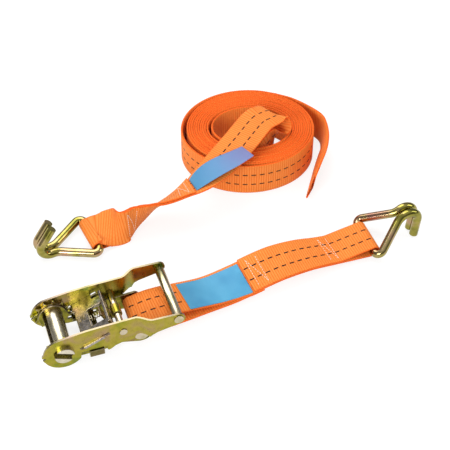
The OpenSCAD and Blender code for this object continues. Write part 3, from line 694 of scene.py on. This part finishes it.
def webbing_finish():
    """Orange polyester: cross ribs, staggered yarns, and two dashed tracer yarns on its outer faces;
    painted shade darkens the weave's valleys and the edges, and painted highlight lightens the rib tops.
    """
    made, tree = new_finish("orange_webbing")
    shader = tree.nodes["Principled BSDF"]

    def own(key):
        return add_node(tree, "ShaderNodeAttribute", attribute_name=key).outputs["Fac"]

    def number(kind, first, second=None):
        return plain_math(tree, kind, first, second)

    def hump(value):
        return number("ABSOLUTE", number("SINE", number("MULTIPLY", value, math.pi)))

    def between(value, limits, soft):
        edges = []
        for limit, ends in zip(limits, ((0, 1), (1, 0))):
            edge = add_node(tree, "ShaderNodeMapRange", interpolation_type="SMOOTHSTEP")
            edge.inputs["From Min"].default_value = limit - soft
            edge.inputs["From Max"].default_value = limit + soft
            edge.inputs["To Min"].default_value, edge.inputs["To Max"].default_value = ends
            feed(tree, value, edge.inputs["Value"])
            edges.append(edge.outputs[0])
        return number("MULTIPLY", *edges)

    along, across, outer = own("along"), own("across"), own("outer")
    ribs = number("DIVIDE", along, RIB)
    stagger = number("MULTIPLY", number("MODULO", number("FLOOR", ribs), 2), 0.5)
    yarns = number("ADD", number("DIVIDE", across, YARN), stagger)
    pebble = number("MULTIPLY", hump(ribs), hump(yarns))
    drift = noise(tree, add_node(tree, "ShaderNodeTexCoord").outputs["Object"], 60, 3)
    # the weave is painted darker in its valleys and lighter on its rib tops: painted shade and painted
    # highlight
    weave = ramp(tree, pebble, [(0.0, (0.76, 0.135, 0.010)), (0.35, (0.92, 0.265, 0.042)),
                                (1.0, (0.95, 0.335, 0.080))])
    # the edges are painted a deeper red-orange: painted shade and painted reflection of the orange layers
    # beside them
    cloth = overlaid(tree, own("painted_edge_shade"), weave, (0.88, 0.125, 0.008))
    cloth = multiplied(tree, cloth, ramp(tree, drift, [(0.3, (0.95, 0.90, 0.85)), (0.7, (1, 1, 1))]))
    line = between(number("ABSOLUTE", across), TRACER, 0.12)
    dash = between(number("MODULO", along, TRACER_PITCH), TRACER_DASH, 0.25)
    mark = number("MULTIPLY", number("MULTIPLY", line, dash), between(outer, (0.75, 2), 0.1))
    feed(tree, overlaid(tree, mark, cloth, (0.022, 0.012, 0.008)), shader.inputs["Base Color"])
    shader.inputs["Roughness"].default_value = 0.66
    shader.inputs["Specular IOR Level"].default_value = 0.18
    shader.inputs["Sheen Weight"].default_value = 0.03
    shader.inputs["Sheen Roughness"].default_value = 0.4
    emboss(tree, pebble, 0.5, 0.35)
    return made


orange_webbing = webbing_finish()
SWING_FROM, SWING, SWING_EASE, DRAWN_IN_FROM, DRAWN_IN = 75, 28.3, 0.06, 245, 0.00098
OVER, OVER_FROM, OVER_RISE, OVER_TO, OVER_FALL = 0.27, 125, 55, 265, 80


def eased_share(t):
    t = np.clip(t, 0, 1)
    return t * t * (3 - 2 * t)


def plan_y(x):
    """How far the short strap has swung aside at a given reach."""
    t = (x - SWING_FROM) / (SHORT_BAR[0] - SWING_FROM)
    late = np.maximum(x - DRAWN_IN_FROM, 0)
    swing = SWING * (t - SWING_EASE * (1 - np.exp(-t / SWING_EASE))) / (1 - SWING_EASE)
    return np.where(t <= 0, 0, swing - DRAWN_IN * late ** 2)


def arc(middle, radius, first, last, steps):
    a = np.radians(np.linspace(first, last, steps + 1))
    return np.array(middle) + radius * np.stack([np.cos(a), np.sin(a)], 1)


def even(count, reach, thick):
    """The last three columns of a strip's table, for a strip of one width and thickness."""
    return np.tile([reach, reach, thick], (count, 1))


def short_rows(line, reach, thick):
    """Strip rows for a line of (x, z) points in the short strap's bent plane; its middle leans over."""
    x = line[:, 0]
    slope = plan_y(x + 0.5) - plan_y(x - 0.5)
    over = OVER * eased_share((x - OVER_FROM) / OVER_RISE) * eased_share((OVER_TO - x) / OVER_FALL)
    across = unit(np.stack([-slope, np.ones_like(x), over], 1))
    return np.hstack([np.stack([x, plan_y(x), line[:, 1]], 1), across, even(len(x), reach, thick)])


half_web = WEB_W / 2
bolt, bar = np.array(BOLT_AT), SHORT_BAR[[0, 2]]
middle_line = through([
    bolt + [0, BOLT_WRAP], [80, 4.6], [96, 3.8], [112, 0.4], [139, -4.8], [166, -5], [186, -2.6],
    [204, -1.6], [228, -4.2], [250, -9.6], [266, -12.6], [279, -14.2], bar - [0, BAR_WRAP]])
middle_x = middle_line[:, 0]
top_line = middle_line[(middle_x > 168) & (middle_x < 262)] + [0, LAYER]
top_end = through([top_line[-1] - [9, -2.3], top_line[-1], [279, -7.3], bar + [0, BAR_WRAP],
                   bar + [8, BAR_WRAP + 1]])[5:12]
bar_bend = arc(bar, BAR_WRAP, 90, -90, 10)
low_join = middle_line[(middle_x > 165) & (middle_x < 184)] - [0, LAYER]
low_line = through([bolt + [-9, 1 - BOLT_WRAP], bolt - [0, BOLT_WRAP], [82, -10.6], [100, -10.8],
                    [116, -11], [134, -10.8], [152, -9.4], low_join[0], low_join[1]])[5:-5]
short_line = np.vstack([top_line, top_end, bar_bend, middle_line[-2:0:-1],
                        arc(bolt, BOLT_WRAP, 90, 270, 10), low_line, low_join])
short_table = through(short_rows(short_line, half_web, WEB_T + 0.2), FINER)
short_web, short_length = webbing("short_webbing", short_table, orange_webbing, both_faces=True)
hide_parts("short_strap")
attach(short_web, "short_strap")


# Seams of the short strap. White polyester thread, lockstitched through all layers in a folded row:
# straight across, back on the slant, and straight across again.
def stitch_tree():
    """One bead of thread at each point, turned along the seam and laid flat on the cloth."""
    tree, keys, start, end = new_tree("seam_thread", {
        "Bead Size": "NodeSocketVector", "Finish": "NodeSocketMaterial"})
    bead = add_node(tree, "GeometryNodeMeshUVSphere")
    bead.inputs["Segments"].default_value = 10
    bead.inputs["Rings"].default_value = 7
    bead.inputs["Radius"].default_value = 1.0
    sized = add_node(tree, "GeometryNodeTransform")
    smooth = add_node(tree, "GeometryNodeSetShadeSmooth")
    headings = {}
    for key in ("stitch_along", "stitch_up"):
        headings[key] = add_node(tree, "GeometryNodeInputNamedAttribute", data_type="FLOAT_VECTOR")
        headings[key].inputs["Name"].default_value = key
    along = add_node(tree, "FunctionNodeAlignRotationToVector", axis="X")
    upright = add_node(tree, "FunctionNodeAlignRotationToVector", axis="Z", pivot_axis="X")
    laid = add_node(tree, "GeometryNodeInstanceOnPoints")
    feed(tree, bead.outputs["Mesh"], sized.inputs["Geometry"])
    feed(tree, start.outputs["Bead Size"], sized.inputs["Scale"])
    feed(tree, sized.outputs["Geometry"], smooth.inputs["Geometry"])
    feed(tree, headings["stitch_along"].outputs["Attribute"], along.inputs["Vector"])
    feed(tree, along.outputs["Rotation"], upright.inputs["Rotation"])
    feed(tree, headings["stitch_up"].outputs["Attribute"], upright.inputs["Vector"])
    feed(tree, start.outputs["Geometry"], laid.inputs["Points"])
    feed(tree, smooth.outputs["Geometry"], laid.inputs["Instance"])
    feed(tree, upright.outputs["Rotation"], laid.inputs["Rotation"])
    close_tree(tree, start, laid.outputs["Instances"], end)
    return tree, keys


seam_thread, thread_keys = stitch_tree()
white_thread, thread_tree = new_finish("white_thread")
thread_shader = thread_tree.nodes["Principled BSDF"]
thread_shader.inputs["Base Color"].default_value = (0.84, 0.64, 0.50, 1)
thread_shader.inputs["Roughness"].default_value = 0.55
STITCH, SEAM_HALF = 2.7, 13.5
BEAD = (1.05 * MM, 0.32 * MM, 0.24 * MM)


def seam_row(table, first, second, side):
    """Places, headings and face directions of the stitches of one seam, between two distances along."""
    corners = np.array([(first, -SEAM_HALF), (first, SEAM_HALF), (second, -SEAM_HALF), (second, SEAM_HALF)])
    run = run_of(corners)
    count = int(run[-1] / STITCH)
    at = (np.arange(count) + 0.5) * run[-1] / count
    flat = np.stack([np.interp(at, run, c) for c in corners.T], 1)
    heading = np.stack([np.interp(at + 0.3, run, c) - np.interp(at - 0.3, run, c) for c in corners.T], 1)
    rows = stations(table, flat[:, 0])
    ahead = unit(stations(table, flat[:, 0] + 0.4)[:, :3] - stations(table, flat[:, 0] - 0.4)[:, :3])
    across = unit(rows[:, 3:6] - (rows[:, 3:6] * ahead).sum(1, keepdims=True) * ahead)
    up = side * np.cross(across, ahead)
    return np.hstack([rows[:, :3] + across * flat[:, 1:] + up * (rows[:, 8:9] / 2 - 0.02),
                      heading[:, :1] * ahead + heading[:, 1:] * across, up])


def sew(name, body, *rows):
    rows = np.vstack(rows)
    mesh = bpy.data.meshes.new(name)
    mesh.from_pydata((rows[:, :3] * MM).tolist(), [], [])
    for key, values in (("stitch_along", rows[:, 3:6]), ("stitch_up", rows[:, 6:9])):
        headings = mesh.attributes.new(key, "FLOAT_VECTOR", "POINT")
        headings.data.foreach_set("vector", values.astype(np.float32).ravel())
    piece = add_object(name, mesh)
    grow(piece, seam_thread, thread_keys, {"Bead Size": BEAD, "Finish": white_thread})
    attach(piece, body)
    return piece


def places_at(x, part, backward=False):
    """Distances along the short strap at which one of its layers passes given x."""
    order = slice(None, None, -1) if backward else slice(None)
    return np.interp(x, short_table[part, 0][order], short_run[part][order])


LABEL_SEAM, HOOK_SEAM, BOLT_SEAM = (177.5, 187), (250, 259), (172, 180)
short_run = run_of(short_table[:, :3])
top_part = slice(0, FINER * (len(top_line) - 1))
under_from = FINER * (len(top_line) + len(top_end) + len(bar_bend))
under_part = slice(under_from, under_from + FINER * 12)
low_part = slice(len(short_table) - FINER * (len(low_join) - 1), None)
short_seams = sew("short_seams", "short_strap",
                  seam_row(short_table, *places_at(LABEL_SEAM, top_part), -1),
                  seam_row(short_table, *places_at(HOOK_SEAM, top_part), -1),
                  seam_row(short_table, *places_at(HOOK_SEAM, under_part, True), -1),
                  seam_row(short_table, *places_at(BOLT_SEAM, low_part), 1))

# Long strap. The same webbing in one length: its slanted end peels off the outside of the roll, the
# turns run inward, and the inner end rises over the roll, takes half a twist and is sewn round the hook.
ROLL_AT, ROLL_TURNED, ROLL_FROM, ROLL_TURNS = np.array([232.5, 176]), -17, -85, 11.58
ROLL_IN, ROLL_OVAL, ROLL_STEP, END_GAP = 34.5, 4.2, 24, 0.8
# how far the inner turn is drawn in and the outer one stands off, and over how many turns
DRAWN_TURN, DRAWN_FADE, LOOSE_TURN, LOOSE_AT, LOOSE_OVER, SETTLED = 5.2, 2.2, 4, 0.4, 0.22, 0.35
roll_mid = FLOOR + WEB_W / 2


def roll_xy(angle, radius):
    a, turned_by = np.radians(angle), math.radians(ROLL_TURNED)
    x, y = (radius + ROLL_OVAL) * np.cos(a), (radius - ROLL_OVAL) * np.sin(a)
    return np.stack([ROLL_AT[0] + x * math.cos(turned_by) - y * math.sin(turned_by),
                     ROLL_AT[1] + x * math.sin(turned_by) + y * math.cos(turned_by)], -1)


turns = np.arange(round(ROLL_TURNS * ROLL_STEP) + 1) / ROLL_STEP
roll_radius = (ROLL_IN + LAYER * turns - DRAWN_TURN * np.exp(-DRAWN_FADE * turns)
               + LOOSE_TURN * np.exp(-((turns - ROLL_TURNS + LOOSE_AT) / LOOSE_OVER) ** 2))
roll_flat = roll_xy(ROLL_FROM - 360 * turns, roll_radius)
settling = (SETTLED * (1 + np.sin(2.3 * turns + 0.6)) * np.clip(turns, 0, 1)
            * np.clip(ROLL_TURNS - turns, 0, 1))
roll_rows = np.hstack([roll_flat, roll_mid + settling[:, None], np.tile([0, 0, 1.0], (len(turns), 1))])
roll_ahead = lean(roll_rows[:, :3], roll_rows[:, 3:])[0]

tail_rows = through([
    [*(roll_rows[-1, :3] + roll_ahead[-1] * END_GAP), 0, 0, 1], [286.5, 203.5, roll_mid, 0, 0, 1],
    [298, 187, roll_mid + 0.1, 0, 0, 1], [305, 171, roll_mid + 0.1, 0.03, 0, 1],
    [303.5, 158, roll_mid + 0.1, 0.1, -0.03, 1], [298.5, 146.5, roll_mid - 0.2, 0.2, -0.13, 0.97],
    [291.5, 134, roll_mid - 0.5, 0.26, -0.17, 0.95], [283, 120.5, roll_mid - 0.6, 0.26, -0.17, 0.95],
    [275, 107.8, roll_mid - 0.6, 0.26, -0.17, 0.95], [267.7, 95.9, roll_mid - 0.6, 0.26, -0.17, 0.95]])
CUT_ROWS = 9
tail_cut = np.clip(np.arange(len(tail_rows)) - len(tail_rows) + CUT_ROWS + 1, 0, CUT_ROWS) / CUT_ROWS

bar_yaw = math.radians(LONG_YAW)
bar_dir = np.array([-math.cos(bar_yaw), -math.sin(bar_yaw), 0])
bar_side = np.array([math.sin(bar_yaw), -math.cos(bar_yaw), 0])

lead_rows = through([
    [*(roll_rows[0, :3] - roll_ahead[0] * END_GAP * 2), 0, 0, -1],
    [237.6, 152.6, roll_mid + 2.2, 0, 0.02, -1], [244.8, 155.6, roll_mid + 6.2, 0.01, 0.04, -1],
    [250.8, 159.8, roll_mid + 8.4, 0.03, 0.12, -1], [255.4, 163.8, roll_mid + 10.2, -0.12, 0.4, -0.95],
    [258.8, 167.2, roll_mid + 13.6, -0.4, 0.6, -0.7], [260, 170.4, roll_mid + 20, -0.55, 0.76, -0.35],
    [258, 172.8, roll_mid + 28.2, -0.58, 0.81, -0.08],
    [253.8, 172.2, roll_mid + 32, -0.58, 0.81, 0], [246, 169.2, roll_mid + 33.8, -0.57, 0.82, 0],
    [235, 164.5, FLOOR + 51, -0.55, 0.83, 0], [213, 147.5, FLOOR + 47, -0.6, 0.8, 0],
    [193, 133.5, FLOOR + 42.5, -0.57, 0.82, 0], [177.5, 124.5, FLOOR + 39, -0.46, 0.88, -0.12],
    [163, 119, FLOOR + 35, -0.2, 0.93, -0.27], [148, 116.5, FLOOR + 29.5, 0.05, 0.87, -0.47],
    [135, 115.5, FLOOR + 24.5, 0.14, 0.79, -0.59], [121.5, 115.2, FLOOR + 20.6, 0.07, 0.67, -0.73],
    [109.3, 111.6, FLOOR + 18.4, 0.05, 0.47, -0.88], [97, 106.3, FLOOR + 18.5, 0.1, 0.2, -0.98],
    [85.5, 100.9, FLOOR + 18.6, 0.08, -0.15, -0.98],
    [*(LONG_BAR - bar_dir * 18 + [0, -2, 7]), 0.1, -0.92, -0.38],
    [*(LONG_BAR - bar_dir * 8 + [0, 0, 1.5]), *(bar_side + [0, 0, 0.02])], [*LONG_BAR, *bar_side]])
# the loop is pushed aside a little where it stands beside the hook
ASIDE, ASIDE_AT, ASIDE_OVER = 3.6, 75, 7
lead_rows[:, 1] -= ASIDE * np.exp(-((lead_rows[:, 0] - ASIDE_AT) / ASIDE_OVER) ** 2)
# the folded end is sewn down from this row on, and its layers part as they near the bar
SEWN, LOOP_FROM, LOOP_RUN, START_ROWS = 58, 4.5, 22.5, 12
lead_ahead, lead_across, lead_out = lean(lead_rows[:, :3], lead_rows[:, 3:])
from_bar = np.linalg.norm(lead_rows[:, :3] - LONG_BAR, axis=1)
spread = BAR_WRAP + (LAYER / 2 - BAR_WRAP) * eased_share((from_bar - LOOP_FROM) / LOOP_RUN)
spread = (spread * eased_share(np.arange(len(lead_rows)) / START_ROWS))[:, None]
lead_under = (lead_rows[:, :3] - lead_out * spread)[:-1]
lead_over = (lead_rows[:, :3] + lead_out * spread)[SEWN:-1][::-1]
bar_along = lead_ahead[-1] - np.dot(lead_ahead[-1], bar_side) * bar_side
bar_along = bar_along / np.linalg.norm(bar_along)
bar_face = np.cross(bar_side, bar_along)
wrap_turn = np.radians(np.arange(0, 181, 18))[:, None]
lead_wrap = LONG_BAR + BAR_WRAP * (np.sin(wrap_turn) * bar_along - np.cos(wrap_turn) * bar_face)
lead_middle = np.vstack([lead_under, lead_wrap, lead_over])
lead_sides = np.vstack([lead_rows[:-1, 3:], np.tile(bar_side, (len(lead_wrap), 1)),
                        lead_rows[SEWN:-1, 3:][::-1]])
long_table = np.vstack([
    np.hstack([tail_rows[::-1, :3], -tail_rows[::-1, 3:], half_web - tail_cut[::-1, None] * (WEB_W - 2),
               np.tile([half_web, WEB_T + 0.25], (len(tail_rows), 1))]),
    np.hstack([roll_rows[::-1, :3], -roll_rows[::-1, 3:], even(len(roll_rows), half_web, WEB_T + 0.42)]),
    np.hstack([lead_middle, lead_sides, even(len(lead_middle), half_web, WEB_T + 0.25)])])
long_table = through(long_table, FINER)
long_run = run_of(long_table[:, :3])
lead_from = FINER * (len(tail_rows) + len(roll_rows))
RIBBED_TURNS, RIBBED_START = 430, 235
long_web, long_length = webbing("long_webbing", long_table, orange_webbing,
                                [(0, long_run[FINER * len(tail_rows)] + RIBBED_TURNS),
                                 (long_run[lead_from] - RIBBED_START, long_run[-1])])
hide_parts("long_strap_roll", "long_strap_lead", "long_strap_tail")
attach(long_web, "long_strap")

# Seams of the long strap. The same thread, through the two layers that close the loop of its hook: one
# row near the cut end of the folded layer, the other nearer to the bar.
BAR_SEAM, END_SEAM = np.array([97, 89]), np.array([13, 5])
lead_part = slice(lead_from, lead_from + FINER * len(lead_under))
bar_seam_places = np.interp(-BAR_SEAM, -long_table[lead_part, 0], long_run[lead_part])
long_seams = sew("long_seams", "long_strap",
                 seam_row(long_table, *(long_length - END_SEAM), -1),
                 seam_row(long_table, *bar_seam_places, -1))


# Labels. Bare blue polyester satin, one sewn flat on the short strap under the end of its upper layer,
# the other caught by its lower end on the long strap and curling up free at the other.
def label_finish(name, tints, fade=0.0):
    """Satin whose tint is painted darker in the hollows of its crease relief and lighter on its crests, as
    painted shade, and by the share fade wanders along its length.
    """
    made, tree = new_finish(name)
    shader = tree.nodes["Principled BSDF"]
    # one noise gives both the crease relief and the painted shade that follows it
    crease_relief_and_shade = noise(tree, add_node(tree, "ShaderNodeTexCoord").outputs["Object"], 38, 2)
    threads = add_node(tree, "ShaderNodeAttribute", attribute_name="along").outputs["Fac"]
    wander = plain_math(tree, "ADD", plain_math(tree, "MULTIPLY", crease_relief_and_shade, 1 - fade),
                        plain_math(tree, "MULTIPLY", threads, fade / 60))
    feed(tree, ramp(tree, wander, tints), shader.inputs["Base Color"])
    shader.inputs["Roughness"].default_value = 0.42
    shader.inputs["Specular IOR Level"].default_value = 0.35
    weft = plain_math(tree, "SINE", plain_math(tree, "MULTIPLY", threads, 9.0))
    emboss(tree, plain_math(tree, "ADD", plain_math(tree, "MULTIPLY", weft, 0.06), crease_relief_and_shade), 0.35, 1.2)
    return made


blue_satin = label_finish("blue_satin", [(0.35, (0.055, 0.29, 0.52)), (0.65, (0.085, 0.37, 0.60))])
violet_satin = label_finish("violet_satin", [
    (0.15, (0.06, 0.27, 0.47)), (0.5, (0.10, 0.26, 0.50)), (0.8, (0.19, 0.22, 0.46))], 0.7)
LABEL_W, LABEL_NEAR, LABEL_T, LABEL_FROM, LABEL_TO, LABEL_UP = 31.2, 16.6, 0.45, 111, 170.2, 1.24
middle_fine = through(middle_line, FINER)
label_x = np.linspace(LABEL_FROM, LABEL_TO, 36)
label_line = np.stack([label_x, np.interp(label_x, middle_fine[:, 0], middle_fine[:, 1]) + LABEL_UP
                       + 0.12 * np.sin(label_x / 4.1) ** 2], 1)
label_rows = short_rows(label_line, LABEL_NEAR, LABEL_T)
label_rows[:, 7] = LABEL_W - LABEL_NEAR
short_tag, short_tag_length = webbing("short_label_sheet", label_rows, blue_satin, rib_depth=0)
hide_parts("short_label")
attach(short_tag, "short_strap")

TAG_W, TAG_ROWS, TAG_UP, TAG_CURL, TAG_ASIDE = 25, 13, 1.3, 6.7, 17
TAG_FREE_END = np.array([0, 0.96, -0.28])
tag_places = SEWN - 0.3 - np.arange(TAG_ROWS)
tag_share = np.arange(TAG_ROWS)[:, None] / (TAG_ROWS - 1)
tag_across, tag_out, tag_middle = (
    np.stack([np.interp(tag_places, np.arange(len(rows)), column) for column in rows.T], 1)
    for rows in (lead_across, lead_out, lead_under))
tag_middle = (tag_middle + tag_out * (TAG_UP + TAG_CURL * tag_share * (2 - tag_share))
              - tag_across * TAG_ASIDE * tag_share ** 2)
tag_across = tag_across + (TAG_FREE_END - tag_across) * tag_share ** 2
tag_rows = np.hstack([tag_middle, tag_across, even(TAG_ROWS, TAG_W / 2, LABEL_T)])
long_tag, long_tag_length = webbing("long_label_sheet", through(tag_rows), violet_satin, rib_depth=0)
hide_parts("long_label")
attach(long_tag, "long_strap")
